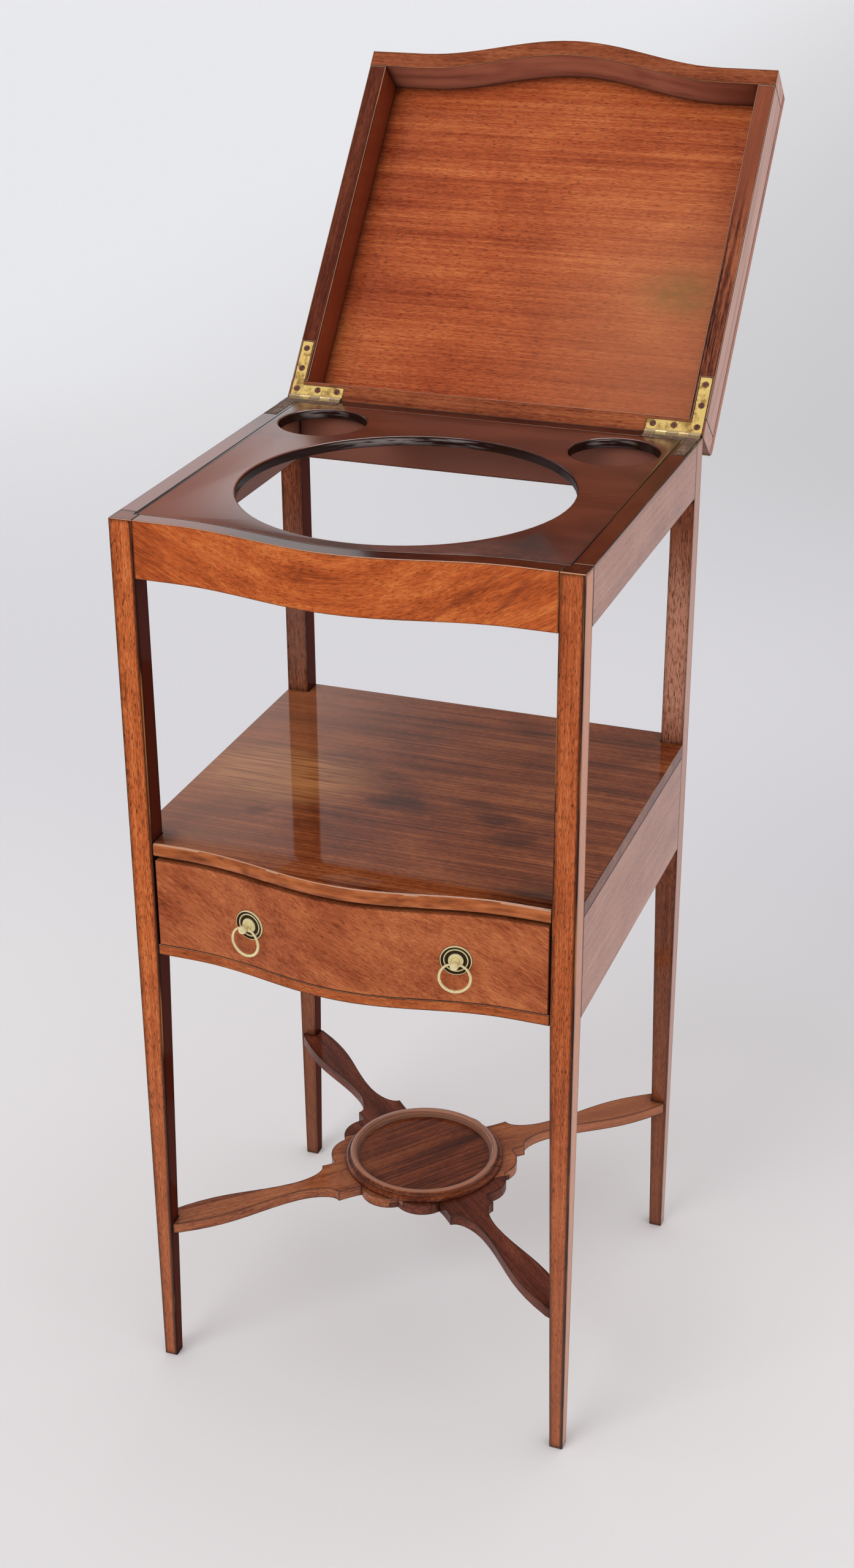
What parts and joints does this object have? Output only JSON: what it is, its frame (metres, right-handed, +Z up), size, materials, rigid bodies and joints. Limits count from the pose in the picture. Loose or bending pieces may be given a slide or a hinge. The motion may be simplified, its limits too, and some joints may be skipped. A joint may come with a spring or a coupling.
{
  "type": "washstand",
  "caption": "Small serpentine-front washstand with a hinged tray lid, a board pierced for basin and cups, a shelf, a drawer with ring pulls and a shaped cross stretcher with a dish.",
  "frame": {"origin": "on the floor, under the middle of the bounding box of the stand with its lid open", "axes": "+X to the right seen from the front, +Y to the rear, +Z up"},
  "size_m": [0.381, 0.6436, 1.0915],
  "materials": {
    "mahogany": "French polished, semi-gloss",
    "mahogany_dark": "dark, worn polish",
    "drawer_lining": "bare, planed",
    "brass": "tarnished, rubbed bright",
    "steel": "dull, dark"
  },
  "bodies": {
    "stand": {"leg_front_left": "mahogany", "leg_front_right": "mahogany", "leg_rear_left": "mahogany", "leg_rear_right": "mahogany", "frieze_front": "mahogany", "frieze_back": "mahogany", "frieze_left": "mahogany", "frieze_right": "mahogany", "shelf_board": "mahogany", "drawer_rail": "mahogany", "back_panel": "mahogany", "side_panel_left": "mahogany", "side_panel_right": "mahogany", "stretcher_over": "mahogany", "stretcher_under": "mahogany", "stretcher_dish": "mahogany", "basin_board": "mahogany_dark", "drawer_runner_left": "drawer_lining", "drawer_stop_left": "drawer_lining", "hinge_base_leaf_left": "brass", "hinge_pin_left": "steel", "drawer_runner_right": "drawer_lining", "drawer_stop_right": "drawer_lining", "hinge_base_leaf_right": "brass", "hinge_pin_right": "steel"},
    "lid": {"lid_panel": "mahogany", "lid_rim_front": "mahogany", "lid_rim_rear": "mahogany", "lid_rim_left": "mahogany", "lid_rim_right": "mahogany", "hinge_lid_leaf_left": "brass", "hinge_lid_leaf_right": "brass"},
    "drawer": {"drawer_front": "mahogany", "drawer_side_left": "drawer_lining", "pull_plate_left": "brass", "pull_nut_left": "brass", "drawer_side_right": "drawer_lining", "pull_plate_right": "brass", "pull_nut_right": "brass", "drawer_back": "drawer_lining", "drawer_bottom": "drawer_lining"},
    "ring_left": {"pull_ring_left": "brass"},
    "ring_right": {"pull_ring_right": "brass"}
  },
  "joints": [
    {"name": "lid_hinge", "type": "hinge", "parent": "stand", "child": "lid", "pos_m": [0, 0.0486, 0.80815], "axis": [1, 0, 0], "range_deg": [0, 130]},
    {"name": "drawer_slide", "type": "slide", "parent": "stand", "child": "drawer", "axis": [0, -1, 0], "range_m": [0, 0.2]},
    {"name": "ring_swing_left", "type": "hinge", "parent": "drawer", "child": "ring_left", "pos_m": [-0.08393, -0.31528, 0.47495], "axis": [-0.9775, 0.2108, 0], "range_deg": [-8, 170]},
    {"name": "ring_swing_right", "type": "hinge", "parent": "drawer", "child": "ring_right", "pos_m": [0.09529, -0.31295, 0.47495], "axis": [-0.9819, -0.1892, 0], "range_deg": [-8, 170]}
  ]
}
